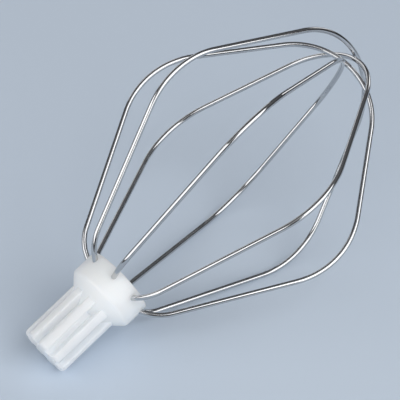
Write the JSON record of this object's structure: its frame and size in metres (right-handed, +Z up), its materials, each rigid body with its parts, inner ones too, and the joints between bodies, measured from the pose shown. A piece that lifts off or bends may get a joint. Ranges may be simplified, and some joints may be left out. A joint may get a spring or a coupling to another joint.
{
  "type": "stand mixer wire whisk",
  "caption": "Balloon-shaped whisk for a stand mixer, lying down: bent steel wire loops cross at the tip, their ends held in a plastic hub with a splined drive shaft.",
  "frame": {"origin": "on the table that the whisk lies on, under the middle of its box", "axes": "+X along the whisk as it lies, from the shaft end towards the tip of the cage; +Y across; +Z up. The whisk's own axis lies in the XZ plane and rises 21.9 degrees towards the tip."},
  "size_m": [0.1564, 0.0932, 0.0904],
  "materials": {
    "hub_plastic": "white, satin moulded",
    "wire_steel": "polished stainless"
  },
  "bodies": {
    "root": {"drive_hub": "hub_plastic", "inner_loop": "wire_steel", "second_loop": "wire_steel", "third_loop": "wire_steel", "outer_loop": "wire_steel"}
  },
  "joints": []
}
